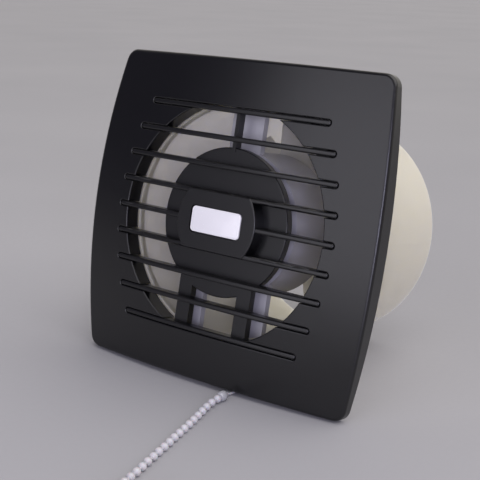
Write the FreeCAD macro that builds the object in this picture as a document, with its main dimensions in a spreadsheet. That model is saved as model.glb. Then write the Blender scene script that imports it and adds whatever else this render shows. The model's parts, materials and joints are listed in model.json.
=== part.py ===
import FreeCAD, Part
import math
import os

# Ventilation fan for a 120 mm duct: black square cover with a barred opening, white housing with
# a round spigot, motor and impeller inside it, and a beaded pull chain on the switch.
# The pieces are built in the fan's own frame (X right, Y back along the duct, Z up, the cover's
# front at Y 0), then stood on the table: the fan leans back on its lower rear edge and its spigot.

doc = FreeCAD.newDocument("ventilation_fan")
sheet = doc.addObject("Spreadsheet::Sheet", "sizes")

SIZES = {
    # Cover: straight top and bottom edges, sides bowed outwards, face domed like the bars
    "cover_height": 160.0,
    "cover_width": 171.0,
    "side_bow": 6.6,
    "cover_depth": 12.4,
    "cover_wall": 2.2,
    "corner_radius": 6.5,
    "edge_radius": 1.8,
    "opening_diameter": 118.0,
    "collar_wall": 2.0,
    "collar_depth": 8.0,
    "opening_rounding": 0.5,
    # Grille: bars arched forward, hub disc behind them, block for the badge in front
    "bar_count": 9,
    "bar_pitch": 13.67,
    "bar_width": 2.6,
    "bar_back": 5.0,
    "bar_bulge": 3.7,
    "bar_reach": 64.7,
    "bar_end_arc": 130.0,
    "bar_rounding": 0.9,
    "bar_end_rounding": 1.2,
    "slot_width": 3.1,
    "ring_width": 6.0,
    "hub_diameter": 73.8,
    "hub_front": 3.6,
    "hub_depth": 4.0,
    "hub_wall": 2.0,
    "hub_rounding": 0.6,
    "block_diameter": 46.8,
    "block_height": 29.3,
    "leg_spacing": 35.6,
    "leg_width": 8.0,
    "strut_width": 2.0,
    "strut_rise": 0.4,
    "badge_width": 29.4,
    "badge_height": 12.6,
    "badge_corner": 2.0,
    "badge_thickness": 1.0,
    "badge_gap": 0.7,
    # Housing: back plate inside the cover, duct behind it, bracket with spokes and motor cup in the duct
    "fit_gap": 0.4,
    "seat_gap": 0.3,
    "plate_thickness": 2.0,
    "rim_height": 6.0,
    "rim_wall": 1.6,
    "spigot_diameter": 119.0,
    "duct_wall": 1.6,
    "duct_flange": 122.4,
    "duct_neck_wall": 0.6,
    "inlet_rounding": 0.4,
    "duct_end": 115.0,
    "top_spoke_width": 18.8,
    "low_spoke_width": 13.0,
    "low_spoke_outside": 25.5,
    "low_spoke_overlap": 10.0,
    "spoke_overlap": 3.0,
    "spoke_depth": 3.6,
    "cup_diameter": 73.0,
    "cup_wall": 2.0,
    "cup_end": 46.0,
    "wall_hole_side_inset": 19.5,
    "wall_hole_end_inset": 14.0,
    "wall_hole": 4.5,
    "boss_height": 9.0,
    "boss_hole_depth": 12.0,
    "lead_notch_depth": 9.0,
    # Motor
    "motor_diameter": 64.0,
    "shield_wall": 2.0,
    "core_start": 30.0,
    "core_length": 16.0,
    "core_bore": 31.0,
    "winding_length": 4.5,
    "winding_outside": 52.0,
    "winding_inside": 36.0,
    "rear_shield_length": 12.0,
    "air_gap": 0.5,
    "shaft_diameter": 6.0,
    "shaft_end": 92.0,
    "bearing_diameter": 16.0,
    "bearing_length": 8.0,
    "bearing_flange": 2.0,
    "running_gap": 0.03,
    "shaft_gap": 1.0,
    "shaft_end_play": 0.5,
    "screw_diameter": 3.0,
    "screw_clearance": 0.4,
    "screw_head": 6.0,
    "head_height": 2.0,
    "bolt_circle": 54.0,
    "bolt_boss": 7.0,
    "bolt_engagement": 8.0,
    "pillar_floor": 2.0,
    "cup_screw_circle": 40.0,
    "cup_screw_length": 8.0,
    # Impeller
    "impeller_diameter": 111.6,
    "impeller_start": 62.0,
    "impeller_length": 24.0,
    "impeller_hub": 42.0,
    "impeller_wall": 2.0,
    "impeller_boss": 14.0,
    "impeller_boss_setback": 4.0,
    "blade_count": 7,
    "blade_chord": 34.0,
    "blade_thickness": 1.8,
    "root_pitch": 48.0,
    "tip_pitch": 30.0,
    "nut_width": 10.0,
    "nut_height": 4.0,
    # Wiring box pieces on the back plate
    "terminal_inset": 40.0,
    "terminal_clearance": 3.3,
    "terminal_width": 22.0,
    "terminal_height": 11.0,
    "terminal_depth": 4.2,
    "terminal_screw": 3.0,
    "terminal_screw_recess": 0.3,
    "grommet_inset": 27.5,
    "grommet_rise": 17.0,
    "grommet_hole": 10.0,
    "grommet_flange": 13.0,
    "grommet_bore": 6.0,
    "grommet_lip": 1.5,
    "grommet_pad": 18.0,
    "switch_offset": 19.5,
    "switch_lift": 8.5,
    "switch_width": 18.0,
    "switch_height": 11.0,
    "switch_depth": 5.0,
    "slider_diameter": 3.2,
    "slider_length": 8.5,
    "slider_out": 1.5,
    "slider_room": 0.3,
    "switch_ear": 5.0,
    "ear_thickness": 2.0,
    "ear_overlap": 0.5,
    "switch_screw": 2.4,
    "switch_screw_head": 4.1,
    "lead_diameter": 2.0,
    "lead_gap": 0.15,
    "string_diameter": 1.2,
    "string_slot": 2.8,
    "string_slot_front": 4.5,
    "cover_screw_boss": 6.2,
    "cover_screw_length": 9.0,
    # Pull chain on the table
    "bead_diameter": 4.0,
    "connector_diameter": 5.0,
    "connector_neck": 4.0,
    "connector_length": 5.5,
    "connector_offset": 2.5,
    "connector_lead": 1.6,
    "string_gap": 0.05,
    "string_rise": 0.55,
    "string_edge_inset": 1.0,
    "coil_middle_radius": 20.9,
    "coil_turns": 2.25,
    "coil_pitch": 4.6,
    "coil_layer": 4.5,
    "coil_lift": 2.9,
    "tail_length": 13.0,
    "tail_turn": 24.0,
    "tie_width": 3.0,
    "tie_thickness": 0.6,
    "tie_gap": 0.3,
    "knob_diameter": 8.0,
    "knob_neck": 5.0,
    "knob_length": 16.0,
    "knob_cone": 9.6,
    # How far a cutting shape reaches past the faces that it opens
    "overcut": 1.0,
}

for row, (alias, number) in enumerate(SIZES.items(), start=1):
    sheet.set("A%d" % row, alias)
    sheet.set("B%d" % row, str(number))
    sheet.setAlias("B%d" % row, alias)
doc.recompute()


def size(alias):
    return float(sheet.get(alias))


ALONG_Y = FreeCAD.Rotation(FreeCAD.Vector(1, 0, 0), -90)
nodes = {}
cord_nodes = {}


def bind(obj, **expressions):
    for prop, expression in expressions.items():
        obj.setExpression(prop, expression)
    return obj


def place(obj, x, y, z):
    for axis, expression in zip("xyz", (x, y, z)):
        obj.setExpression(".Placement.Base." + axis, expression)
    return obj


def cylinder(name, diameter, start, end, x="0", z="0"):
    """Round bar along the duct from start to end."""
    obj = doc.addObject("Part::Cylinder", name)
    obj.Placement = FreeCAD.Placement(FreeCAD.Vector(), ALONG_Y)
    bind(obj, Radius="(%s) / 2" % diameter, Height="(%s) - (%s)" % (end, start))
    return place(obj, x, start, z)


def upright(name, diameter, bottom, top, x="0", y="0"):
    """Round bar standing along Z from bottom to top."""
    obj = doc.addObject("Part::Cylinder", name)
    bind(obj, Radius="(%s) / 2" % diameter, Height="(%s) - (%s)" % (top, bottom))
    return place(obj, x, y, bottom)


def box(name, left, right, front, back, bottom, top):
    obj = doc.addObject("Part::Box", name)
    bind(obj, Length="(%s) - (%s)" % (right, left), Width="(%s) - (%s)" % (back, front),
         Height="(%s) - (%s)" % (top, bottom))
    return place(obj, left, front, bottom)


def fuse(name, *pieces):
    obj = doc.addObject("Part::MultiFuse", name)
    obj.Shapes = list(pieces)
    obj.Refine = True
    return obj


def cut(name, base, *tools):
    obj = doc.addObject("Part::Cut", name)
    obj.Base = base
    obj.Tool = tools[0] if len(tools) == 1 else fuse(name + "_tools", *tools)
    obj.Refine = True
    return obj


def common(name, base, tool):
    obj = doc.addObject("Part::Common", name)
    obj.Base = base
    obj.Tool = tool
    return obj


def group(name, *pieces):
    obj = doc.addObject("Part::Compound", name)
    obj.Links = list(pieces)
    return obj


def rounded(name, base, radius, chosen):
    """Base with the edges that chosen picks rounded to radius."""
    doc.recompute()
    obj = doc.addObject("Part::Fillet", name)
    obj.Base = base
    obj.Edges = [(index, radius, radius) for index, edge in enumerate(base.Shape.Edges, start=1)
                 if chosen(edge)]
    return obj


def solid_feature(name, shape):
    obj = doc.addObject("Part::Feature", name)
    obj.Shape = shape
    return obj


def tube(name, outer, inner, start, end, x="0", z="0"):
    bore = cylinder(name + "_bore", inner, "(%s) - sizes.overcut" % start, "(%s) + sizes.overcut" % end, x, z)
    return cut(name, cylinder(name + "_outer", outer, start, end, x, z), bore)


def node(name, obj):
    obj.Label = name
    nodes[name] = obj
    return obj


# Outline shared by the cover and the housing plate
def bowed_outline(inset, start, end):
    """Block between two planes across the duct, with the cover's outline drawn in by inset."""
    half_height = size("cover_height") / 2
    bow = size("side_bow")
    side_radius = (half_height ** 2 + bow ** 2) / (2 * bow)
    side_centre = size("cover_width") / 2 - side_radius
    high = half_height - inset
    reach = side_radius - inset
    corner = side_centre + math.sqrt(reach ** 2 - high ** 2)
    middle = side_centre + reach
    vector = FreeCAD.Vector
    top_left, top_right = vector(-corner, start, high), vector(corner, start, high)
    low_left, low_right = vector(-corner, start, -high), vector(corner, start, -high)
    wire = Part.Wire([
        Part.LineSegment(top_left, top_right).toShape(),
        Part.Arc(top_right, vector(middle, start, 0), low_right).toShape(),
        Part.LineSegment(low_right, low_left).toShape(),
        Part.Arc(low_left, vector(-middle, start, 0), top_left).toShape(),
    ])
    block = Part.Face(wire).extrude(vector(0, end - start, 0))
    corners = [e for e in block.Edges if is_along_duct(e)]
    return block.makeFillet(max(size("corner_radius") - inset, size("cover_wall") / 2), corners)


def lies_at(edge, y):
    return all(abs(v.Point.y - y) < 1e-6 for v in edge.Vertexes)


def is_along_duct(edge):
    return abs(edge.tangentAt(edge.FirstParameter).y) > 0.99


# Dome: the cover's face and the fronts of the bars lie on one ball
def dome_centre():
    reach, bulge = size("bar_reach"), size("bar_bulge")
    return FreeCAD.Vector(0, (reach ** 2 - bulge ** 2) / (2 * bulge), 0)


def dome_radius():
    return dome_centre().y + size("bar_bulge")


def dome_front(x, z, inset=0):
    """How far back the domed face, drawn in by inset, lies at a place on the cover."""
    return dome_centre().y - math.sqrt((dome_radius() - inset) ** 2 - x ** 2 - z ** 2)


def domed(block, inset):
    return block.common(Part.makeSphere(dome_radius() - inset, dome_centre())).Solids[0]


def lies_on_dome(edge):
    return all(abs(v.Point.distanceToPoint(dome_centre()) - dome_radius()) < 1e-4 for v in edge.Vertexes)


# Bars: places and reach of each one
def bar_heights():
    count = int(size("bar_count"))
    middle = (count - 1) / 2
    return [(middle - i) * size("bar_pitch") for i in range(count)]


def bar_reach(height):
    arc = size("bar_end_arc")
    return size("bar_reach") - (arc - math.sqrt(arc ** 2 - height ** 2))


# Front cover: its round opening ends flat at the first and the last bar
cover_back = size("cover_depth") + size("overcut")
outside = domed(bowed_outline(0, -size("bar_bulge"), size("cover_depth")), 0)
outside = outside.makeFillet(size("edge_radius"), [e for e in outside.Edges if lies_on_dome(e)])
cover_block = solid_feature("cover_block", outside)
cover_hollow = solid_feature("cover_hollow", domed(
    bowed_outline(size("cover_wall"), -size("bar_bulge"), cover_back), size("cover_wall")))
collar = cylinder("collar", "sizes.opening_diameter + 2 * sizes.collar_wall", "sizes.cover_wall / 2",
                  "sizes.collar_depth")
COLLAR_PAST = "sizes.collar_depth + sizes.overcut"
OUTER_BAR = "sizes.bar_pitch * (sizes.bar_count - 1) / 2"
DOME_PAST = "-sizes.bar_bulge - sizes.overcut"
opening_round = cylinder("opening_round", "sizes.opening_diameter", DOME_PAST, COLLAR_PAST)
opening_band = box("opening_band", "-sizes.opening_diameter", "sizes.opening_diameter", DOME_PAST,
                   COLLAR_PAST, "-(" + OUTER_BAR + ")", OUTER_BAR)
opening = common("opening", opening_round, opening_band)
slots = []
for index, height in enumerate(bar_heights(), start=1):
    reach = bar_reach(height) + (size("slot_width") - size("bar_width")) / 2 - size("slot_width") / 2
    slot = box("slot_%d" % index, str(-reach), str(reach), DOME_PAST, COLLAR_PAST,
               "%.6f - sizes.slot_width / 2" % height, "%.6f + sizes.slot_width / 2" % height)
    ends = [cylinder("slot_end_%d" % index, "sizes.slot_width", DOME_PAST, COLLAR_PAST,
                     str(side * reach), str(height)) for side in (-1, 1)]
    slots += [slot] + ends
BOTTOM = "-sizes.cover_height / 2"
SWITCH_MIDDLE = "sizes.cover_depth - sizes.plate_thickness - sizes.switch_depth / 2"
string_slot = box("string_slot", "sizes.switch_offset - sizes.string_slot / 2",
                  "sizes.switch_offset + sizes.string_slot / 2", "sizes.string_slot_front",
                  SWITCH_MIDDLE + " + sizes.string_slot / 2", BOTTOM + " - sizes.overcut",
                  BOTTOM + " + sizes.cover_wall + sizes.overcut")
SCREW_MIDDLE = "sizes.cover_depth - sizes.plate_thickness - sizes.cover_screw_boss / 2"
cover_screw_hole = upright("cover_screw_hole", "sizes.screw_diameter + sizes.screw_clearance",
                           BOTTOM + " - sizes.overcut",
                           BOTTOM + " + sizes.cover_wall + sizes.overcut", "0", SCREW_MIDDLE)
cover_screw_seat = upright("cover_screw_seat", "sizes.screw_head + sizes.screw_clearance",
                           BOTTOM + " - sizes.overcut",
                           BOTTOM + " + sizes.head_height / 2", "0", SCREW_MIDDLE)
cover_shell = fuse("cover_shell", cut("cover_walls", cover_block, cover_hollow), collar)
cover_opened = cut("cover_opened", cover_shell, opening, string_slot, cover_screw_hole, cover_screw_seat,
                   *slots)


def is_opening_edge(edge):
    reach = size("opening_diameter") / 2 + size("slot_width")
    return lies_on_dome(edge) and all(abs(v.Point.z) < reach for v in edge.Vertexes)


node("front_cover", rounded("front_cover", cover_opened, size("opening_rounding"), is_opening_edge))


# Grille: one moulding set into the cover's slots from behind
def arched_bar(height):
    reach = bar_reach(height)
    back = size("bar_back")
    low = height - size("bar_width") / 2
    vector = FreeCAD.Vector
    end_front = dome_front(reach, height)
    left, right = vector(-reach, end_front, low), vector(reach, end_front, low)
    wire = Part.Wire([
        Part.Arc(left, vector(0, dome_front(0, height), low), right).toShape(),
        Part.LineSegment(right, vector(reach, back, low)).toShape(),
        Part.LineSegment(vector(reach, back, low), vector(-reach, back, low)).toShape(),
        Part.LineSegment(vector(-reach, back, low), left).toShape(),
    ])
    bar = Part.Face(wire).extrude(vector(0, 0, size("bar_width")))
    bar = bar.makeFillet(size("bar_end_rounding"), [e for e in bar.Edges if is_along_duct(e)])
    front = [e for e in bar.Edges if max(v.Point.y for v in e.Vertexes) < back / 2 and not is_along_duct(e)]
    return bar.makeFillet(size("bar_rounding"), front)


bars = [solid_feature("bar_%d" % i, arched_bar(z)) for i, z in enumerate(bar_heights(), start=1)]
RING_INSIDE = "sizes.opening_diameter + 2 * sizes.collar_wall + 2 * sizes.fit_gap"
ring_reach = size("opening_diameter") / 2 + size("collar_wall") + size("fit_gap") + size("ring_width")
ring_front = dome_front(ring_reach, 0, size("cover_wall"))
ring = tube("ring", RING_INSIDE + " + 2 * sizes.ring_width", RING_INSIDE, str(ring_front), "sizes.bar_back")
HUB_BACK = "sizes.hub_front + sizes.hub_depth"
hub_disc = cylinder("hub_disc", "sizes.hub_diameter", "sizes.hub_front", HUB_BACK)
hub = rounded("hub", hub_disc, size("hub_rounding"), lambda edge: lies_at(edge, size("hub_front")))
block_round = cylinder("block_round", "sizes.block_diameter", "-sizes.bar_bulge",
                       "sizes.hub_front + sizes.overcut")
block_band = box("block_band", "-sizes.block_diameter", "sizes.block_diameter", "-sizes.bar_bulge",
                 "sizes.hub_front + sizes.overcut", "-sizes.block_height / 2", "sizes.block_height / 2")
block_solid = common("block_solid", block_round, block_band)
block = rounded("block", block_solid, size("hub_rounding"), lambda edge: lies_at(edge, -size("bar_bulge")))
HUB_EDGE = "sizes.hub_diameter / 2 - sizes.hub_wall"
strut = box("strut", "-sizes.strut_width / 2", "sizes.strut_width / 2",
            "sizes.hub_front - sizes.strut_rise", HUB_BACK, HUB_EDGE, OUTER_BAR)
legs = []
for side in (-1, 1):
    middle = "%d * sizes.leg_spacing / 2" % side
    legs.append(box("leg", middle + " - sizes.leg_width / 2", middle + " + sizes.leg_width / 2",
                    "sizes.hub_front", HUB_BACK, "-(" + OUTER_BAR + ")", "-sizes.hub_diameter / 3"))
grille_solid = fuse("grille_solid", ring, hub, block, strut, *(legs + bars))
hub_hollow = cylinder("hub_hollow", "sizes.hub_diameter - 2 * sizes.hub_wall",
                      "sizes.hub_front + sizes.hub_wall", HUB_BACK + " + sizes.overcut")
pocket_round = cylinder("pocket_round", "sizes.block_diameter - 2 * sizes.hub_wall",
                        "sizes.hub_wall - sizes.bar_bulge", HUB_BACK)
pocket_band = box("pocket_band", "-sizes.block_diameter", "sizes.block_diameter",
                  "sizes.hub_wall - sizes.bar_bulge", HUB_BACK,
                  "sizes.hub_wall - sizes.block_height / 2", "sizes.block_height / 2 - sizes.hub_wall")
block_pocket = common("block_pocket", pocket_round, pocket_band)


def rounded_plate(width, height, corner, start, end):
    vector = FreeCAD.Vector
    plate = Part.makeBox(width, end - start, height, vector(-width / 2, start, -height / 2))
    return plate.makeFillet(corner, [e for e in plate.Edges if is_along_duct(e)])


badge_front = -size("bar_bulge")
badge_back = badge_front + size("badge_thickness")
margin = 2 * size("badge_gap")
badge_recess = solid_feature("badge_recess", rounded_plate(
    size("badge_width") + margin, size("badge_height") + margin, size("badge_corner") + margin / 2,
    badge_front - size("overcut"), badge_back))
node("grille", cut("grille", grille_solid, hub_hollow, block_pocket, badge_recess))

# Badge: blank plate glued into the recess of the block
node("badge_plate", solid_feature("badge_plate", rounded_plate(
    size("badge_width"), size("badge_height"), size("badge_corner"), badge_front, badge_back)))

# Housing: back plate with a rim inside the cover, a hole for the duct and a boss for the cover screw
PLATE_FRONT = "sizes.cover_depth - sizes.plate_thickness"
PLATE_BACK = "sizes.cover_depth"
plate_inset = size("cover_wall") + size("fit_gap")
plate_front = size("cover_depth") - size("plate_thickness")
rim_front = size("cover_depth") - size("rim_height")
tray_block = solid_feature("tray_block", domed(
    bowed_outline(plate_inset, rim_front, size("cover_depth")), plate_inset))
tray_hollow = solid_feature("tray_hollow", bowed_outline(plate_inset + size("rim_wall"),
                                                         rim_front - size("overcut"), plate_front))
DUCT_FRONT = "sizes.collar_depth + sizes.fit_gap"
DUCT_BORE = "sizes.spigot_diameter - 2 * sizes.duct_wall"
RIM_INSIDE = BOTTOM + " + sizes.cover_wall + sizes.fit_gap + sizes.rim_wall"
plate_opening = cylinder("plate_opening", "sizes.spigot_diameter + 2 * sizes.seat_gap",
                         PLATE_FRONT + " - sizes.overcut", PLATE_BACK + " + sizes.overcut")
boss = box("boss", "-sizes.cover_screw_boss / 2", "sizes.cover_screw_boss / 2",
           PLATE_FRONT + " - sizes.cover_screw_boss", PLATE_BACK,
           BOTTOM + " + sizes.cover_wall + sizes.fit_gap", BOTTOM + " + sizes.cover_wall + sizes.boss_height")
boss_hole = upright("boss_hole", "sizes.screw_diameter", BOTTOM, BOTTOM + " + sizes.boss_hole_depth", "0",
                    SCREW_MIDDLE)
rim_notch = box("rim_notch", "sizes.switch_offset - sizes.slider_diameter",
                "sizes.switch_offset + sizes.slider_diameter", PLATE_FRONT + " - sizes.rim_height",
                PLATE_FRONT, BOTTOM, RIM_INSIDE + " + sizes.overcut")
wall_holes = []
for side_x in (-1, 1):
    for side_z in (-1, 1):
        wall_holes.append(cylinder("wall_hole", "sizes.wall_hole", PLATE_FRONT + " - sizes.overcut",
                                   PLATE_BACK + " + sizes.overcut",
                                   "%d * (sizes.cover_width / 2 - sizes.wall_hole_side_inset)" % side_x,
                                   "%d * (sizes.cover_height / 2 - sizes.wall_hole_end_inset)" % side_z))
TERMINAL_X = "-(sizes.cover_width / 2 - sizes.terminal_inset)"
TERMINAL_Z = RIM_INSIDE + " + sizes.terminal_clearance + sizes.terminal_height / 2"
GROMMET_X = "-(sizes.cover_width / 2 - sizes.grommet_inset)"
GROMMET_Z = TERMINAL_Z + " + sizes.grommet_rise"
PAD_FRONT = PLATE_FRONT + " - sizes.grommet_lip"
grommet_pad = cylinder("grommet_pad", "sizes.grommet_pad", PAD_FRONT, PLATE_BACK, GROMMET_X, GROMMET_Z)
grommet_hole = cylinder("grommet_hole", "sizes.grommet_hole", PAD_FRONT + " - sizes.overcut",
                        PLATE_BACK + " + sizes.overcut", GROMMET_X, GROMMET_Z)
grommet_seat = cylinder("grommet_seat", "sizes.grommet_flange + sizes.screw_clearance",
                        PLATE_BACK + " - sizes.grommet_lip", PLATE_BACK + " + sizes.overcut", GROMMET_X,
                        GROMMET_Z)
tray = cut("tray", tray_block, tray_hollow)
plate_and_bosses = fuse("plate_and_bosses", tray, boss, grommet_pad)
node("housing", cut("housing", plate_and_bosses, plate_opening, boss_hole, rim_notch, grommet_hole,
                    grommet_seat, *wall_holes))

# Duct: spigot put through the plate from the front until its flange seats, with a neck inside the hole
# and a rounded inlet behind the cover's collar
LEAD_X = "sizes.switch_offset - sizes.switch_width / 4"
FLANGE_LOW = "-sizes.duct_flange / 2"
duct_outside = fuse("duct_outside",
                    cylinder("duct_flange", "sizes.duct_flange", DUCT_FRONT, PLATE_FRONT),
                    cylinder("duct_neck", DUCT_BORE + " + 2 * sizes.duct_neck_wall", PLATE_FRONT, PLATE_BACK),
                    cylinder("duct_tube", "sizes.spigot_diameter", PLATE_BACK, "sizes.duct_end"))
duct_bore = cylinder("duct_bore", DUCT_BORE, DUCT_FRONT + " - sizes.overcut",
                     "sizes.duct_end + sizes.overcut")
lead_notch = box("lead_notch", LEAD_X + " - sizes.lead_diameter", LEAD_X + " + sizes.lead_diameter",
                 DUCT_FRONT + " - sizes.overcut", PLATE_FRONT, FLANGE_LOW + " - sizes.overcut",
                 FLANGE_LOW + " + sizes.lead_notch_depth")


def is_inlet_edge(edge):
    front = size("collar_depth") + size("fit_gap")
    return lies_at(edge, front) and edge.BoundBox.XMax < size("spigot_diameter") / 2


duct_inlet = rounded("duct_inlet", cut("duct_bored", duct_outside, duct_bore), size("inlet_rounding"),
                     is_inlet_edge)
node("duct", cut("duct", duct_inlet, lead_notch))

# Motor bracket: cup on three spokes, whose ends seat in the duct
CUP_FLOOR = PLATE_BACK + " + sizes.cup_wall"
SPOKE_BACK = PLATE_BACK + " + sizes.spoke_depth"
REACH = "sizes.spigot_diameter / 2"
INSIDE_CUP = "sizes.cup_diameter / 2 - sizes.cup_wall"
cup = cylinder("cup", "sizes.cup_diameter", PLATE_BACK, "sizes.cup_end")
cup_hollow = cylinder("cup_hollow", "sizes.cup_diameter - 2 * sizes.cup_wall", CUP_FLOOR,
                      "sizes.cup_end + sizes.overcut")
spokes = [box("top_spoke", "-sizes.top_spoke_width / 2", "sizes.top_spoke_width / 2", PLATE_BACK,
              SPOKE_BACK, INSIDE_CUP + " - sizes.spoke_overlap", REACH)]
for side in (-1, 1):
    outer = "sizes.low_spoke_outside"
    inner = "sizes.low_spoke_outside - sizes.low_spoke_width"
    edges = (inner, outer) if side > 0 else ("-(%s)" % outer, "-(%s)" % inner)
    spokes.append(box("low_spoke", edges[0], edges[1], PLATE_BACK, SPOKE_BACK, "-(%s)" % REACH,
                      "-(%s) + sizes.low_spoke_overlap" % INSIDE_CUP))
spokes_in_duct = common("spokes_in_duct", fuse("spokes", *spokes),
                        cylinder("duct_inside", DUCT_BORE + " - 2 * sizes.seat_gap", PLATE_BACK, SPOKE_BACK))
cup_holes = []
cup_screw_angles = (90, 210, 330)
for angle in cup_screw_angles:
    cup_holes.append(cylinder("cup_hole", "sizes.screw_diameter + sizes.screw_clearance",
                              PLATE_BACK + " - sizes.overcut", CUP_FLOOR + " + sizes.overcut",
                              "sizes.cup_screw_circle / 2 * cos(%d deg)" % angle,
                              "sizes.cup_screw_circle / 2 * sin(%d deg)" % angle))
LEAD_HOLE_Z = "-(sizes.motor_diameter / 2 - sizes.shield_wall - 4 * sizes.lead_diameter)"
lead_hole = cylinder("lead_hole", "2 * sizes.lead_diameter", PLATE_BACK + " - sizes.overcut",
                     CUP_FLOOR + " + sizes.overcut", LEAD_X, LEAD_HOLE_Z)
node("motor_bracket", cut("motor_bracket", fuse("cup_and_spokes", cup, spokes_in_duct), cup_hollow, lead_hole,
                          *cup_holes))


# Screws: shank and head, the head's underside at seat, the shank towards the back
def screw(name, seat, length, x, z, diameter="sizes.screw_diameter", head="sizes.screw_head", turn=1):
    """Screw along the duct: turn 1 points it backwards, turn -1 forwards."""
    if turn > 0:
        shank = cylinder(name + "_shank", diameter, "(%s) - sizes.head_height / 4" % seat,
                         "(%s) + (%s)" % (seat, length), x, z)
        cap = cylinder(name + "_cap", head, "(%s) - sizes.head_height" % seat, seat, x, z)
    else:
        shank = cylinder(name + "_shank", diameter, "(%s) - (%s)" % (seat, length),
                         "(%s) + sizes.head_height / 4" % seat, x, z)
        cap = cylinder(name + "_cap", head, seat, "(%s) + sizes.head_height" % seat, x, z)
    return fuse(name, shank, cap)


# Cover screw: from below, its head sunk in the cover's lower wall
cover_screw_shank = upright("cover_screw_shank", "sizes.screw_diameter", BOTTOM + " + sizes.head_height / 4",
                            BOTTOM + " + sizes.cover_screw_length", "0", SCREW_MIDDLE)
cover_screw_cap = upright("cover_screw_cap", "sizes.screw_head", BOTTOM + " + sizes.head_height / 10",
                          BOTTOM + " + sizes.head_height / 2", "0", SCREW_MIDDLE)
node("cover_screw", fuse("cover_screw", cover_screw_shank, cover_screw_cap))

# Motor shields: two cups that clamp the stator between them and hold the bearings
SHIELD_BORE = "sizes.motor_diameter - 2 * sizes.shield_wall"
CORE_END = "sizes.core_start + sizes.core_length"
FRONT_SEAT = CUP_FLOOR + " + sizes.shield_wall"
REAR_END = CORE_END + " + sizes.rear_shield_length"
BEARING_BOSS = "sizes.bearing_diameter + 2 * sizes.bearing_flange"
bolt_angles = (90, 210, 330)


def bolt_places(circle, angles):
    return [("%s / 2 * cos(%d deg)" % (circle, a), "%s / 2 * sin(%d deg)" % (circle, a)) for a in angles]


bolt_spots = bolt_places("sizes.bolt_circle", bolt_angles)
front_can = cylinder("front_can", "sizes.motor_diameter", CUP_FLOOR, "sizes.core_start")
front_hollow = cylinder("front_hollow", SHIELD_BORE, FRONT_SEAT, "sizes.core_start + sizes.overcut")
front_boss = cylinder("front_boss", BEARING_BOSS, CUP_FLOOR, FRONT_SEAT + " + sizes.bearing_length")
front_seat = cylinder("front_seat", "sizes.bearing_diameter", FRONT_SEAT,
                      FRONT_SEAT + " + sizes.bearing_length + sizes.overcut")
front_pillars = [cylinder("front_pillar", "sizes.bolt_boss", CUP_FLOOR, "sizes.core_start", x, z)
                 for x, z in bolt_spots]
front_pillars_in = common("front_pillars_in", fuse("front_pillars", *front_pillars),
                          cylinder("front_inside", SHIELD_BORE + " + sizes.shield_wall", CUP_FLOOR,
                                   "sizes.core_start"))
pillar_holes = [cylinder("pillar_hole", "sizes.screw_diameter", FRONT_SEAT + " + sizes.pillar_floor",
                         "sizes.core_start + sizes.overcut", x, z) for x, z in bolt_spots]
cup_screw_spots = bolt_places("sizes.cup_screw_circle", cup_screw_angles)
shield_holes = [cylinder("shield_hole", "sizes.screw_diameter", CUP_FLOOR + " - sizes.overcut",
                         FRONT_SEAT + " + sizes.overcut", x, z) for x, z in cup_screw_spots]
shield_lead_hole = cylinder("shield_lead_hole", "2 * sizes.lead_diameter", CUP_FLOOR + " - sizes.overcut",
                            FRONT_SEAT + " + sizes.overcut", LEAD_X, LEAD_HOLE_Z)
front_shell = fuse("front_shell", cut("front_walls", front_can, front_hollow), front_boss, front_pillars_in)
node("motor_front_shield", cut("motor_front_shield", front_shell, front_seat, shield_lead_hole,
                               *(pillar_holes + shield_holes)))

rear_can = cylinder("rear_can", "sizes.motor_diameter", CORE_END, REAR_END)
rear_hollow = cylinder("rear_hollow", SHIELD_BORE, CORE_END + " - sizes.overcut",
                       REAR_END + " - sizes.shield_wall")
rear_boss = cylinder("rear_boss", BEARING_BOSS, REAR_END + " - sizes.shield_wall - sizes.bearing_length",
                     REAR_END)
rear_seat = cylinder("rear_seat", "sizes.bearing_diameter",
                     REAR_END + " - sizes.shield_wall - sizes.bearing_length - sizes.overcut",
                     REAR_END + " - sizes.shield_wall")
rear_shaft_hole = cylinder("rear_shaft_hole", "sizes.shaft_diameter + 2 * sizes.shaft_gap", CORE_END,
                           REAR_END + " + sizes.overcut")
rear_bolt_holes = [cylinder("rear_bolt_hole", "sizes.screw_diameter + sizes.screw_clearance", CORE_END,
                            REAR_END + " + sizes.overcut", x, z) for x, z in bolt_spots]
rear_shell = fuse("rear_shell", cut("rear_walls", rear_can, rear_hollow), rear_boss)
node("motor_rear_shield", cut("motor_rear_shield", rear_shell, rear_seat, rear_shaft_hole, *rear_bolt_holes))

# Stator: laminated ring with its end windings on both faces
core_holes = [cylinder("core_hole", "sizes.screw_diameter + sizes.screw_clearance",
                       "sizes.core_start - sizes.overcut", CORE_END + " + sizes.overcut", x, z)
              for x, z in bolt_spots]
stator_ring = tube("stator_ring", "sizes.motor_diameter", "sizes.core_bore", "sizes.core_start", CORE_END)
node("stator_core", cut("stator_core", stator_ring, *core_holes))
windings = [tube("winding_front", "sizes.winding_outside - sizes.bolt_boss", "sizes.winding_inside",
                 "sizes.core_start - sizes.winding_length", "sizes.core_start"),
            tube("winding_rear", "sizes.winding_outside - sizes.bolt_boss", "sizes.winding_inside", CORE_END,
                 CORE_END + " + sizes.winding_length")]
node("stator_windings", group("stator_windings", *windings))

# Bearings: plain bushes in the shields
BEARING_BORE = "sizes.shaft_diameter + 2 * sizes.running_gap"
node("front_bearing", tube("front_bearing", "sizes.bearing_diameter", BEARING_BORE, FRONT_SEAT,
                           FRONT_SEAT + " + sizes.bearing_length"))
REAR_SEAT = REAR_END + " - sizes.shield_wall"
node("rear_bearing", tube("rear_bearing", "sizes.bearing_diameter", BEARING_BORE,
                          REAR_SEAT + " - sizes.bearing_length", REAR_SEAT))

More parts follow.
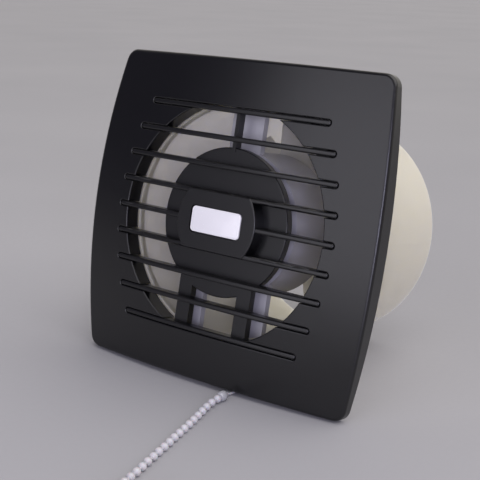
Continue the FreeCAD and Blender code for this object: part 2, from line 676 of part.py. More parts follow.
# Bolts through the motor and screws that hold it in the cup
BOLT_LENGTH = "sizes.rear_shield_length + sizes.core_length + sizes.bolt_engagement"
node("motor_bolts", group("motor_bolts", *[
    screw("motor_bolt_%d" % i, REAR_END, BOLT_LENGTH, x, z, turn=-1) for i, (x, z) in enumerate(bolt_spots)]))
node("cup_screws", group("cup_screws", *[
    screw("cup_screw_%d" % i, PLATE_BACK, "sizes.cup_screw_length", x, z)
    for i, (x, z) in enumerate(cup_screw_spots)]))

# Rotor: shaft, squirrel-cage core, impeller and its nut turn together
SHAFT_START = FRONT_SEAT + " + sizes.shaft_end_play"
shaft_bar = cylinder("shaft_bar", "sizes.shaft_diameter", SHAFT_START, "sizes.shaft_end")
node("motor_shaft", group("motor_shaft", shaft_bar))
node("rotor_core", tube("rotor_core", "sizes.core_bore - 2 * sizes.air_gap", "sizes.shaft_diameter",
                        "sizes.core_start", CORE_END))
IMPELLER_END = "sizes.impeller_start + sizes.impeller_length"


def blade_section(radius, pitch_angle, middle):
    """Slanted rectangle across the blade, standing at radius above the shaft."""
    along = FreeCAD.Vector(math.cos(math.radians(pitch_angle)), math.sin(math.radians(pitch_angle)), 0)
    across = FreeCAD.Vector(-along.y, along.x, 0)
    centre = FreeCAD.Vector(0, middle, radius)
    chord = along * (size("blade_chord") / 2)
    thick = across * (size("blade_thickness") / 2)
    corners = [centre + chord + thick, centre - chord + thick, centre - chord - thick, centre + chord - thick]
    return Part.makePolygon(corners + corners[:1])


def blade(angle):
    middle = size("impeller_start") + size("impeller_length") / 2
    root = blade_section(size("impeller_hub") / 2 - size("impeller_wall"), size("root_pitch"), middle)
    tip = blade_section(size("impeller_diameter") / 2 + size("overcut"), size("tip_pitch"), middle)
    shape = Part.makeLoft([root, tip], True, True)
    shape.rotate(FreeCAD.Vector(), FreeCAD.Vector(0, 1, 0), angle)
    return shape


blade_count = int(size("blade_count"))
blades = [solid_feature("blade_%d" % i, blade(360 * i / blade_count)) for i in range(blade_count)]
blade_space = tube("blade_space", "sizes.impeller_diameter",
                   "sizes.impeller_hub - 2 * sizes.impeller_wall + sizes.overcut", "sizes.impeller_start",
                   IMPELLER_END)
blades_trimmed = common("blades_trimmed", fuse("blades", *blades), blade_space)
hub_can = cylinder("hub_can", "sizes.impeller_hub", "sizes.impeller_start", IMPELLER_END)
hub_space = cylinder("hub_space", "sizes.impeller_hub - 2 * sizes.impeller_wall",
                     "sizes.impeller_start - sizes.overcut", IMPELLER_END + " - sizes.impeller_wall")
hub_boss = cylinder("hub_boss", "sizes.impeller_boss",
                    "sizes.impeller_start + sizes.impeller_boss_setback", IMPELLER_END)
hub_bore = cylinder("hub_bore", "sizes.shaft_diameter", "sizes.impeller_start - sizes.overcut",
                    IMPELLER_END + " + sizes.overcut")
hub_shell = fuse("hub_shell", cut("hub_walls", hub_can, hub_space), hub_boss, blades_trimmed)
node("impeller", cut("impeller", hub_shell, hub_bore))

nut_hex = doc.addObject("Part::Prism", "nut_hex")
nut_hex.Polygon = 6
nut_hex.Placement = FreeCAD.Placement(FreeCAD.Vector(), ALONG_Y)
bind(nut_hex, Circumradius="sizes.nut_width / 2 / cos(30 deg)", Height="sizes.nut_height")
place(nut_hex, "0", IMPELLER_END, "0")
nut_bore = cylinder("nut_bore", "sizes.shaft_diameter", IMPELLER_END + " - sizes.overcut",
                    IMPELLER_END + " + sizes.nut_height + sizes.overcut")
node("impeller_nut", cut("impeller_nut", nut_hex, nut_bore))

# Terminal block and its clamp screws, for the supply wires
TERMINAL_FRONT = PLATE_FRONT + " - sizes.terminal_depth"
SCREW_FOOT = TERMINAL_FRONT + " + sizes.terminal_depth / 2"
terminal_body = box("terminal_body", TERMINAL_X + " - sizes.terminal_width / 2",
                    TERMINAL_X + " + sizes.terminal_width / 2", TERMINAL_FRONT, PLATE_FRONT,
                    TERMINAL_Z + " - sizes.terminal_height / 2", TERMINAL_Z + " + sizes.terminal_height / 2")
terminal_places = [TERMINAL_X + " + %d * sizes.terminal_width / 3" % i for i in (-1, 0, 1)]
terminal_holes = [cylinder("terminal_hole", "sizes.terminal_screw", TERMINAL_FRONT + " - sizes.overcut",
                           SCREW_FOOT, x, TERMINAL_Z) for x in terminal_places]
node("terminal_block", cut("terminal_block", terminal_body, *terminal_holes))
node("terminal_screws", group("terminal_screws", *[
    cylinder("terminal_screw", "sizes.terminal_screw", TERMINAL_FRONT + " + sizes.terminal_screw_recess",
             SCREW_FOOT, x, TERMINAL_Z) for x in terminal_places]))

# Grommet in the cable entry: its rear lip is sunk in the plate, so that the plate lies flat on the wall
GROMMET_FRONT = PAD_FRONT + " - sizes.grommet_lip"
grommet_body = fuse("grommet_body",
                    cylinder("grommet_core", "sizes.grommet_hole", GROMMET_FRONT, PLATE_BACK, GROMMET_X,
                             GROMMET_Z),
                    cylinder("grommet_front", "sizes.grommet_flange", GROMMET_FRONT, PAD_FRONT, GROMMET_X,
                             GROMMET_Z),
                    cylinder("grommet_rear", "sizes.grommet_flange", PLATE_BACK + " - sizes.grommet_lip",
                             PLATE_BACK, GROMMET_X, GROMMET_Z))
grommet_bore = cylinder("grommet_bore", "sizes.grommet_bore", GROMMET_FRONT + " - sizes.overcut",
                        PLATE_BACK + " + sizes.overcut", GROMMET_X, GROMMET_Z)
node("cable_grommet", cut("cable_grommet", grommet_body, grommet_bore))

# Pull switch: body with two ears, slider in its bore
SWITCH_FRONT = PLATE_FRONT + " - sizes.switch_depth"
SWITCH_BOTTOM = BOTTOM + " + sizes.switch_lift"
SWITCH_TOP = SWITCH_BOTTOM + " + sizes.switch_height"
switch_box = box("switch_box", "sizes.switch_offset - sizes.switch_width / 2",
                 "sizes.switch_offset + sizes.switch_width / 2", SWITCH_FRONT, PLATE_FRONT, SWITCH_BOTTOM,
                 SWITCH_TOP)
EAR_Z = SWITCH_BOTTOM + " + sizes.switch_ear / 2 + sizes.ear_overlap"
EAR_REACH = " (sizes.switch_ear / 2 + sizes.ear_overlap)"
EAR_FRONT = PLATE_FRONT + " - sizes.ear_thickness"
ear_spots = [("sizes.switch_offset + %d * (sizes.switch_width / 2 + sizes.switch_ear / 2)" % side, EAR_Z)
             for side in (-1, 1)]
switch_ears = [box("switch_ear", x + " -" + EAR_REACH, x + " +" + EAR_REACH, EAR_FRONT, PLATE_FRONT,
                   z + " - sizes.switch_ear / 2", z + " + sizes.switch_ear / 2") for x, z in ear_spots]
ear_holes = [cylinder("ear_hole", "sizes.switch_screw", EAR_FRONT + " - sizes.overcut",
                      PLATE_FRONT + " + sizes.overcut", x, z) for x, z in ear_spots]
SLIDER_TOP = SWITCH_BOTTOM + " - sizes.slider_out + sizes.slider_length"
slider_bore = upright("slider_bore", "sizes.slider_diameter + 2 * sizes.running_gap",
                      SWITCH_BOTTOM + " - sizes.overcut", SLIDER_TOP + " + sizes.slider_room",
                      "sizes.switch_offset", SWITCH_MIDDLE)
node("switch_body", cut("switch_body", fuse("switch_shell", switch_box, *switch_ears), slider_bore,
                        *ear_holes))
node("switch_screws", group("switch_screws", *[
    screw("switch_screw_%d" % i, EAR_FRONT, "sizes.ear_thickness", x, z, "sizes.switch_screw",
          "sizes.switch_screw_head") for i, (x, z) in enumerate(ear_spots)]))
slider_bar = upright("slider_bar", "sizes.slider_diameter", SWITCH_BOTTOM + " - sizes.slider_out",
                     SLIDER_TOP, "sizes.switch_offset", SWITCH_MIDDLE)
node("switch_slider", group("switch_slider", slider_bar))


# Leads, string and chain: straight runs joined by arcs as large as the runs allow
def arc_through(start, corner, end):
    """Arc that leaves start towards corner and arrives at end from corner, both as far from it."""
    chord = end - start
    middle = (start + end) * 0.5
    towards = corner - middle
    half = chord.Length / 2
    sagitta = half * math.tan(math.atan2(towards.Length, half) / 2)
    towards.normalize()
    return Part.Arc(start, middle + towards * sagitta, end).toShape()


ARC_SHARE = 0.45


def route_tube(name, points, diameter):
    """Round tube along the route's points, and a print of its radii, length and volume."""
    edges, radii = [], []
    last = points[0]
    for before, here, after in zip(points, points[1:], points[2:]):
        run_in, run_out = here - before, after - here
        turn = run_in.getAngle(run_out)
        shorter = min(run_in.Length, run_out.Length)
        setback = ARC_SHARE * shorter
        radii.append(setback / math.tan(turn / 2))
        first = here - FreeCAD.Vector(run_in).normalize() * setback
        second = here + FreeCAD.Vector(run_out).normalize() * setback
        edges.append(Part.LineSegment(last, first).toShape())
        edges.append(arc_through(first, here, second))
        last = second
    edges.append(Part.LineSegment(last, points[-1]).toShape())
    wire = Part.Wire(edges)
    section = Part.Wire(Part.Circle(points[0], points[1] - points[0], diameter / 2).toShape())
    shape = wire.makePipeShell([section], True, False)
    expected = math.pi * diameter ** 2 / 4 * wire.Length
    print(name, "radii", [round(r, 1) for r in radii], "length", round(wire.Length, 1),
          "volume ratio", round(shape.Volume / expected, 4))
    return solid_feature(name, shape)


vector = FreeCAD.Vector
lead_x = size("switch_offset") - size("switch_width") / 4
lead_y = plate_front - size("lead_diameter") / 2 - size("lead_gap")
lead_z = -(size("motor_diameter") / 2 - size("shield_wall") - 4 * size("lead_diameter"))
switch_bottom = size("switch_lift") - size("cover_height") / 2
switch_top = switch_bottom + size("switch_height")
node("motor_lead", route_tube("motor_lead", [
    vector(lead_x, size("core_start"), lead_z),
    vector(lead_x, size("cover_depth"), lead_z),
    vector(lead_x, lead_y, lead_z - (size("cover_depth") - lead_y)),
    vector(lead_x, lead_y, switch_top),
], size("lead_diameter")))
switch_side = size("switch_offset") - size("switch_width") / 2
supply_y = plate_front - 1.2 * size("lead_diameter")
supply_z = switch_top - size("lead_diameter")
terminal_side = size("terminal_inset") + size("terminal_width") / 2 - size("cover_width") / 2
terminal_z = (plate_inset + size("rim_wall") + size("terminal_clearance") + size("terminal_height") / 2
              - size("cover_height") / 2)
node("switch_lead", route_tube("switch_lead", [
    vector(switch_side, supply_y, supply_z),
    vector(switch_side - 14, supply_y, supply_z),
    vector(-10, supply_y + 0.6, supply_z - 2.5),
    vector(terminal_side + 12, supply_y, terminal_z),
    vector(terminal_side, supply_y, terminal_z),
], size("lead_diameter")))

# Stand the fan on the table: it leans back until the cover's lower rear edge and the spigot touch it
run = size("duct_end") - size("cover_depth")
rise = size("cover_height") / 2 - size("spigot_diameter") / 2
lean = math.atan2(rise, run)
leaning = FreeCAD.Placement(vector(), FreeCAD.Rotation(vector(1, 0, 0), -math.degrees(lean)))
doc.recompute()
standing_box = FreeCAD.BoundBox()
for obj in nodes.values():
    shape = obj.Shape.copy()
    shape.Placement = leaning.multiply(shape.Placement)
    standing_box.add(shape.optimalBoundingBox(False, False))
shift = vector(-standing_box.Center.x, -standing_box.Center.y, -standing_box.ZMin)
standing = FreeCAD.Placement(shift, leaning.Rotation)

# Pull string: from the slider, out of the slot and under the cover's raised front edge
string = size("string_diameter")
string_x = size("switch_offset")
string_y = plate_front - size("switch_depth") / 2
slider_tip = switch_bottom - size("slider_out")
bead = size("bead_diameter")
chain_z = bead / 2
connector_z = size("connector_diameter") / 2
string_start = standing.multVec(vector(string_x, string_y, slider_tip))
string_z = string / 2 + size("string_gap")
string_turn = vector(string_x, string_start.y - (string_start.z - string_z) * math.tan(lean), string_z)
cover_front = standing.multVec(vector(string_x, 0, -size("cover_height") / 2))
string_edge = vector(string_x, cover_front.y + size("string_edge_inset"), string_z + size("string_rise"))
connector_start = vector(string_x + 0.2, cover_front.y - size("connector_offset"), connector_z)
connector_way = vector(0.07, -1, 0).normalize()
connector_end = connector_start + connector_way * size("connector_length")
cord_nodes["pull_string"] = route_tube("pull_string", [
    string_start, string_turn, string_edge, connector_start - connector_way * size("connector_lead"),
    connector_start], string)

# Pull chain: from the bell that joins it to the string, along the table to where it is coiled
chain_route = [
    connector_end,
    connector_end + connector_way * 2 * bead,
    vector(23.6, -98.5, chain_z),
    vector(26.6, -109.5, chain_z),
    vector(29.4, -121.5, chain_z),
    vector(32.6, -134.0, chain_z),
    vector(35.4, -146.5, chain_z),
    vector(38.6, -159.0, chain_z),
    vector(41.4, -171.0, chain_z + 0.3),
    vector(45.0, -183.0, size("coil_lift")),
    vector(50.4, -200.0, size("coil_lift")),
]
cord_nodes["pull_chain"] = route_tube("pull_chain", chain_route, bead)

# Coil: the rest of the chain, spiralling in below and out above, then down to the knob
coil_heading = (chain_route[-1] - chain_route[-2])
coil_heading.z = 0
coil_heading.normalize()
coil_outside = size("coil_middle_radius") + size("coil_pitch") * size("coil_turns") / 4
coil_centre = chain_route[-1] + vector(-coil_heading.y, coil_heading.x, 0) * coil_outside
coil_start_angle = math.atan2(-coil_heading.x, coil_heading.y)


def coil_point(turn):
    turns = size("coil_turns")
    radius = coil_outside - size("coil_pitch") * min(turn, turns - turn)
    climb = min(max((turn - turns / 2 + 0.25) / 0.5, 0), 1)
    height = size("coil_lift") + size("coil_layer") * climb * climb * (3 - 2 * climb)
    angle = coil_start_angle + 2 * math.pi * turn
    return vector(coil_centre.x + radius * math.cos(angle), coil_centre.y + radius * math.sin(angle), height)


def coil_tangent(turn):
    step = 1e-4
    return (coil_point(turn + step) - coil_point(turn - step)).normalize()


def biarc(start, start_way, end, end_way):
    """Two arcs that join two points and follow the ways given there."""
    chord = end - start
    ways = start_way + end_way
    spread = 2 * (1 - start_way.dot(end_way))
    along = chord.dot(ways)
    reach = (-along + math.sqrt(along ** 2 + spread * chord.dot(chord))) / spread
    first = start + start_way * reach
    second = end - end_way * reach
    joint = (first + second) * 0.5
    return [arc_through(start, first, joint), arc_through(joint, second, end)]


quarters = int(round(size("coil_turns") * 4))
coil_edges = [Part.LineSegment(chain_route[-1], chain_route[-1] + coil_heading * bead).toShape()]
coil_shift = coil_heading * bead
coil_points = [coil_point(i / 4) + coil_shift for i in range(quarters + 1)]
coil_ways = [coil_heading] + [coil_tangent(i / 4) for i in range(1, quarters)]
last_tangent = coil_tangent(size("coil_turns") - 0.001)
last_tangent.z = 0
coil_ways.append(last_tangent.normalize())
for i in range(quarters):
    coil_edges += biarc(coil_points[i], coil_ways[i], coil_points[i + 1], coil_ways[i + 1])
tail_way = FreeCAD.Rotation(vector(0, 0, 1), -size("tail_turn")).multVec(coil_ways[-1])
tail_end = coil_points[-1] + (coil_ways[-1] + tail_way) * size("tail_length")
tail_end.z = size("knob_diameter") / 2
coil_edges += biarc(coil_points[-1], coil_ways[-1], tail_end, tail_way)
knob_start = tail_end + tail_way * bead
coil_edges.append(Part.LineSegment(tail_end, knob_start).toShape())
coil_wire = Part.Wire(coil_edges)
coil_section = Part.Wire(Part.Circle(chain_route[-1], coil_heading, bead / 2).toShape())
coil_shape = coil_wire.makePipeShell([coil_section], True, False)
samples = [p for e in coil_edges for p in e.discretize(12)[:-1]]
lengths = [0.0]
for here, after in zip(samples, samples[1:]):
    lengths.append(lengths[-1] + (after - here).Length)
self_gap = min((samples[i] - samples[j]).Length - bead
               for i in range(len(samples)) for j in range(i)
               if lengths[i] - lengths[j] > 3 * bead)
print("chain_coil length", round(coil_wire.Length, 1), "self gap", round(self_gap, 2),
      "volume ratio", round(coil_shape.Volume / (math.pi * bead ** 2 / 4 * coil_wire.Length), 4))
cord_nodes["chain_coil"] = solid_feature("chain_coil", coil_shape)


def turned_along(name, start, way, profile):
    """Solid of revolution about way from start: profile gives (distance, diameter) pairs."""
    shapes = []
    for (near, wide), (far, narrow) in zip(profile, profile[1:]):
        base = start + way * near
        if abs(wide - narrow) < 1e-6:
            shapes.append(Part.makeCylinder(wide / 2, far - near, base, way))
        else:
            shapes.append(Part.makeCone(wide / 2, narrow / 2, far - near, base, way))
    joined = shapes[0].multiFuse(shapes[1:]) if len(shapes) > 1 else shapes[0]
    return solid_feature(name, joined.removeSplitter())


connector_half = size("connector_length") / 2
cord_nodes["chain_connector"] = turned_along(
    "chain_connector", connector_start, connector_way,
    [(0, size("connector_neck")), (connector_half, size("connector_diameter")),
     (2 * connector_half, size("connector_neck"))])
knob_length = size("knob_length")
cord_nodes["pull_knob"] = turned_along(
    "pull_knob", knob_start, tail_way,
    [(0, size("knob_neck")), (size("knob_cone"), size("knob_diameter")),
     (knob_length, size("knob_diameter"))])

# Tie: flat band round both layers of the coil
tie_quarter = quarters // 3
tie_low, tie_high = coil_points[tie_quarter], coil_points[tie_quarter + 4]
tie_angle = coil_start_angle + math.pi / 2 * tie_quarter
centre = coil_centre + coil_shift
radii = [math.hypot(p.x - centre.x, p.y - centre.y) for p in (tie_low, tie_high)]
gap = bead / 2 + size("tie_gap")
thickness = size("tie_thickness")
overcut = size("overcut")
hole = Part.makeBox(max(radii) - min(radii) + 2 * gap, size("tie_width") + 2 * overcut,
                    tie_high.z - tie_low.z + 2 * gap,
                    vector(min(radii) - gap, -size("tie_width") / 2 - overcut, tie_low.z - gap))
band = Part.makeBox(hole.BoundBox.XLength + 2 * thickness, size("tie_width"),
                    hole.BoundBox.ZLength + 2 * thickness,
                    vector(hole.BoundBox.XMin - thickness, -size("tie_width") / 2,
                           hole.BoundBox.ZMin - thickness))
tie_shape = band.cut(hole)
cord_nodes["coil_tie"] = solid_feature("coil_tie", tie_shape)
cord_nodes["coil_tie"].Placement = FreeCAD.Placement(
    vector(centre.x, centre.y, 0), FreeCAD.Rotation(vector(0, 0, 1), math.degrees(tie_angle)))

# Every fan piece takes the standing place, and every solid is checked before it is written
for name, obj in nodes.items():
    obj.Placement = standing.multiply(obj.Placement)
for name, obj in cord_nodes.items():
    node(name, obj)
doc.recompute()
faults = [o.Name for o in doc.Objects if "Invalid" in o.State or "Error" in o.State]
for name, obj in nodes.items():
    if obj.Shape.isNull() or not obj.Shape.isValid() or not obj.Shape.Solids:
        faults.append(name)
if faults:
    raise RuntimeError("failed objects: %s" % faults)

print("lean", round(math.degrees(lean), 2), "shift", [round(c, 3) for c in shift])
print("connector", [round(c, 2) for c in connector_start], [round(c, 2) for c in connector_end],
      "coil centre", [round(c, 2) for c in centre])
os.makedirs("parts", exist_ok=True)
for name, obj in nodes.items():
    bounds = obj.Shape.optimalBoundingBox(False, False)
    print(name, len(obj.Shape.Solids), [round(c, 2) for c in (bounds.XMin, bounds.YMin, bounds.ZMin,
                                                             bounds.XMax, bounds.YMax, bounds.ZMax)])
    obj.Shape.exportStep("parts/%s.step" % name)
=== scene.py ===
import bmesh
import bpy
import json
import math
from mathutils import Matrix, Quaternion, Vector


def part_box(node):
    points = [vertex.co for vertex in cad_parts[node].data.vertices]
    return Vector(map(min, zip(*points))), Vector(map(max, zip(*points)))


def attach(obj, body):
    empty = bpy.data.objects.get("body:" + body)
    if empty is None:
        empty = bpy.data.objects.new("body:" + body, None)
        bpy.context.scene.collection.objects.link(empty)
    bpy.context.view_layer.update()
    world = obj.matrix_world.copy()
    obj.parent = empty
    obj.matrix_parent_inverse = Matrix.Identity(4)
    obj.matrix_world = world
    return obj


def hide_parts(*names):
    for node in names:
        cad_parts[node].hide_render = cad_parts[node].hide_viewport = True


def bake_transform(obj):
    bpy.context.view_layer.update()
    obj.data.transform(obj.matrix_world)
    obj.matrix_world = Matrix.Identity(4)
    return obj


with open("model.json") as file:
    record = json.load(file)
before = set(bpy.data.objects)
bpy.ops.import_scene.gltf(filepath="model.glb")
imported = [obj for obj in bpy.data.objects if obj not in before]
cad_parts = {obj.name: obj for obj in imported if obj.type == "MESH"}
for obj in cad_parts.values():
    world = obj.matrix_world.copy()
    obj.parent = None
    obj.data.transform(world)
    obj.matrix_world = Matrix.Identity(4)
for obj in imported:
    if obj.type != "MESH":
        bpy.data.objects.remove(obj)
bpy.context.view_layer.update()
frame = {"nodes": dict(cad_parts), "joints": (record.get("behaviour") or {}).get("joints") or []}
scene = bpy.context.scene
nodes = frame["nodes"]

# Housing, duct and motor bracket: ABS mouldings, of which the spigot and the bracket's arms show.
# The plate is screwed to the wall, the duct seats in it by its flange, and the bracket holds the motor.
# They leave a polished mould in an even ivory, with a fine grain in their gloss; the bracket is painted
# greyer, as painted shade on its arms deep in the duct.
millimetre = 0.001


def linear(colour):
    """Linear RGBA of an sRGB hex colour."""
    channels = [int(colour[i:i + 2], 16) / 255 for i in (1, 3, 5)]
    return [c / 12.92 if c <= 0.04045 else ((c + 0.055) / 1.055) ** 2.4 for c in channels] + [1.0]


def set_sockets(tree, node, sockets):
    """Give a node's inputs a value each, or link them to another node's output."""
    for name, value in sockets.items():
        if isinstance(value, bpy.types.NodeSocket):
            tree.links.new(value, node.inputs[name])
        else:
            node.inputs[name].default_value = value


def add_node(tree, kind, sockets, **options):
    """Shader node with its options and its inputs set."""
    node = tree.nodes.new("ShaderNode" + kind)
    for name, value in options.items():
        setattr(node, name, value)
    set_sockets(tree, node, sockets)
    return node


def new_material(name):
    """Material with its node tree, its shader and the coordinates of the piece it covers."""
    material = bpy.data.materials.new(name)
    material.use_nodes = True
    tree = material.node_tree
    place = add_node(tree, "TexCoord", {}).outputs["Object"]
    return material, tree, tree.nodes["Principled BSDF"], place


def moulded_plastic(name, dark, light, glossy, dull, patch_mm=40.0, grain_mm=0.8, relief_mm=0.01,
                    sockets=None):
    """Plastic as it leaves the mould: two tones in broad flow patches, and a grain in gloss and height.

    Real grain is a tenth of a millimetre wide, too fine to show, so it is drawn at grain_mm.
    """
    material, tree, shader, place = new_material(name)
    flow = add_node(tree, "TexNoise", {"Vector": place, "Scale": 1000 / patch_mm, "Detail": 2.0})
    tone = add_node(tree, "Mix", {0: flow.outputs["Fac"], 6: linear(dark), 7: linear(light)},
                    data_type="RGBA")
    grain = add_node(tree, "TexNoise", {"Vector": place, "Scale": 1000 / grain_mm, "Detail": 2.0})
    gloss = add_node(tree, "MapRange", {"Value": grain.outputs["Fac"], "From Min": 0.3, "From Max": 0.7,
                                        "To Min": glossy, "To Max": dull})
    height = add_node(tree, "Bump", {"Height": grain.outputs["Fac"], "Distance": relief_mm * millimetre})
    set_sockets(tree, shader, {"Base Color": tone.outputs[2], "Roughness": gloss.outputs["Result"],
                               "Normal": height.outputs["Normal"], "IOR": 1.53})
    set_sockets(tree, shader, sockets or {})
    return material


def dress(material, *names):
    """Give a finish to nodes whose own shape stays."""
    for name in names:
        for slot in nodes[name].material_slots:
            slot.material = material


dress(moulded_plastic("ivory_moulded_abs", "#dad7cf", "#e4e1d9", 0.36, 0.5), "housing")
# Painted shade: the bracket's ivory ABS is given a darker grey so that its arms look shaded.
dress(moulded_plastic("ivory_abs_painted_shade", "#b0afb3", "#bab9bd", 0.36, 0.5), "motor_bracket")

# Daylight shines through the thin wall of the duct, so that its inside glows behind the bracket's arms.
thin_wall = {"Subsurface Weight": 1.0, "Subsurface Radius": (0.75, 0.78, 1.05),
             "Subsurface Scale": 12 * millimetre}
dress(moulded_plastic("ivory_thin_abs", "#cbc6b4", "#d5d0be", 0.36, 0.5, sockets=thin_wall), "duct")

# Motor shields: two pressed cups of galvanised sheet that clamp the stator between them.
# Hot-dip zinc shows flat crystals a few millimetres wide, each with its own grey and gloss.
galvanised_sheet, tree, shader, place = new_material("galvanised_sheet")
crystal_mm = 5.0
crystals = add_node(tree, "TexVoronoi", {"Vector": place, "Scale": 1000 / crystal_mm})
facet = add_node(tree, "SeparateColor", {"Color": crystals.outputs["Color"]})
zinc_tone = add_node(tree, "Mix", {0: facet.outputs["Red"], 6: linear("#8f9497"), 7: linear("#bcc1c4")},
                     data_type="RGBA")
zinc_gloss = add_node(tree, "MapRange", {"Value": facet.outputs["Red"], "To Min": 0.32, "To Max": 0.52})
set_sockets(tree, shader, {"Base Color": zinc_tone.outputs[2], "Roughness": zinc_gloss.outputs["Result"],
                           "Metallic": 1.0})
dress(galvanised_sheet, "motor_front_shield", "motor_rear_shield")

# Stator and rotor cores: stacks of punched electrical sheet, half a millimetre thick.
# The edges of the sheets give fine rings round the stack, drawn a little coarser so that they show.
spin_joint = next(joint for joint in frame["joints"] if joint["name"] == "impeller_spin")
duct_way = Vector(spin_joint["axis"])
spin_depth = 60 * millimetre
fan_origin = Vector(spin_joint["pos_m"]) - duct_way * spin_depth
lean = math.atan2(duct_way.z, duct_way.y)
fan_place = Matrix.Translation(fan_origin) @ Matrix.Rotation(lean, 4, "X")
waves_per_unit = 20 / (2 * math.pi)


def ringed_metal(name, dark, light, ring_mm, glossy, dull, wander):
    """Metal with fine rings round the duct's axis, ring_mm apart."""
    material, tree, shader, place = new_material(name)
    along = add_node(tree, "Mapping", {"Vector": place, "Rotation": (-lean, 0, 0)})
    rings = add_node(tree, "TexWave", {"Vector": along.outputs["Vector"], "Distortion": wander,
                                       "Scale": 1000 / ring_mm / waves_per_unit}, bands_direction="Y")
    tone = add_node(tree, "Mix", {0: rings.outputs["Fac"], 6: linear(dark), 7: linear(light)},
                    data_type="RGBA")
    gloss = add_node(tree, "MapRange", {"Value": rings.outputs["Fac"], "To Min": dull, "To Max": glossy})
    set_sockets(tree, shader, {"Base Color": tone.outputs[2], "Roughness": gloss.outputs["Result"],
                               "Metallic": 1.0})
    return material


dress(ringed_metal("electrical_sheet_stack", "#4d5054", "#85888c", 1.0, 0.4, 0.56, 0.2),
      "stator_core", "rotor_core")

# End windings: rings of enamelled copper wire that stand out of both faces of the stator.
# The wire lies in turns round the ring, dipped in amber varnish.
shade_angle = math.radians(35)


def add_piece(name, mesh, material, body, slot, *replaced):
    """Make a finished bmesh a piece that rides on a body, if it is given one, and stands for the nodes that
    it replaces.
    """
    data = bpy.data.meshes.new(name)
    mesh.to_mesh(data)
    mesh.free()
    data.materials.append(material)
    data.shade_smooth()
    data.set_sharp_from_angle(angle=shade_angle)
    piece = bpy.data.objects.new(name, data)
    scene.collection.objects.link(piece)
    if body:
        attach(piece, body)
    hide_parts(*replaced)
    return piece


def turn_profile(mesh, profile, steps=48, closed=False):
    """Spin (distance, radius) points, in millimetres, about the Y axis."""
    ring = [mesh.verts.new((0, distance * millimetre, radius * millimetre)) for distance, radius in profile]
    ends = ring[1:] + ring[:1] if closed else ring[1:]
    lines = [mesh.edges.new(pair) for pair in zip(ring, ends)]
    bmesh.ops.spin(mesh, geom=ring + lines, axis=(0, 1, 0), cent=(0, 0, 0), angle=2 * math.pi, steps=steps,
                   use_merge=True)
    bmesh.ops.remove_doubles(mesh, verts=mesh.verts[:], dist=0.001 * millimetre)


def cloudy_metal(name, dark, light, cloud_mm, glossy, dull, sockets=None):
    """Metal whose tone and gloss vary in soft clouds, cloud_mm wide."""
    material, tree, shader, place = new_material(name)
    clouds = add_node(tree, "TexNoise", {"Vector": place, "Scale": 1000 / cloud_mm, "Detail": 3.0})
    tone = add_node(tree, "Mix", {0: clouds.outputs["Fac"], 6: linear(dark), 7: linear(light)},
                    data_type="RGBA")
    gloss = add_node(tree, "MapRange", {"Value": clouds.outputs["Fac"], "From Min": 0.3, "From Max": 0.7,
                                        "To Min": glossy, "To Max": dull})
    set_sockets(tree, shader, {"Base Color": tone.outputs[2], "Roughness": gloss.outputs["Result"],
                               "Metallic": 1.0})
    set_sockets(tree, shader, sockets or {})
    return material


winding_inside = 18.0
winding_outside = 22.5
winding_rows = 4
wire = 0.9
wire_dip = 0.14
stator_front = 30.0
stator_back = 46.0
windings_mesh = bmesh.new()
for face, out in ((stator_front, -1), (stator_back, 1)):
    inner_wall = []
    for row in range(winding_rows):
        inner_wall += [(face + out * wire * (row + 0.25), winding_inside),
                       (face + out * wire * (row + 0.75), winding_inside + wire_dip)]
    outer_wall = [(depth, winding_inside + winding_outside - radius)
                  for depth, radius in reversed(inner_wall)]
    top = face + out * wire * (winding_rows + 0.6)
    crown = []
    for turn in range(int((winding_outside - winding_inside) / wire)):
        crown += [(top, winding_inside + wire * (turn + 0.25)),
                  (top - out * wire_dip, winding_inside + wire * (turn + 0.75))]
    turn_profile(windings_mesh, [(face, winding_inside)] + inner_wall + crown + outer_wall
                 + [(face, winding_outside)], closed=True)
bmesh.ops.recalc_face_normals(windings_mesh, faces=windings_mesh.faces[:])
windings_mesh.transform(fan_place)
add_piece("winding_rings", windings_mesh,
          cloudy_metal("enamelled_copper_wire", "#6f3418", "#bb6c33", 2.5, 0.28, 0.4, {"Coat Weight": 0.6}),
          "fan_body", "winding_copper", "stator_windings")

# Bearings: bushes of sintered bronze, full of oil, pressed into the shields.
# Pressed powder leaves a brown metal with fine open pores.
dress(cloudy_metal("sintered_bronze", "#5d401e", "#b3884c", 0.5, 0.36, 0.58), "front_bearing", "rear_bearing")

# Shaft: ground steel, 6 mm, that carries the rotor core and the impeller.
# Grinding leaves faint bright rings round it.
dress(ringed_metal("ground_steel", "#b1b4b8", "#c9ccd0", 0.8, 0.2, 0.3, 1.5), "motor_shaft")

# Motor screws: cold-headed steel pan screws with a cross recess and a blue-white zinc plate.
# Three clamp the shields from behind, and three hold the motor in the bracket's cup.
zinc_plate = cloudy_metal("zinc_plated_steel", "#9da1a6", "#cfd2d6", 1.5, 0.24, 0.42)


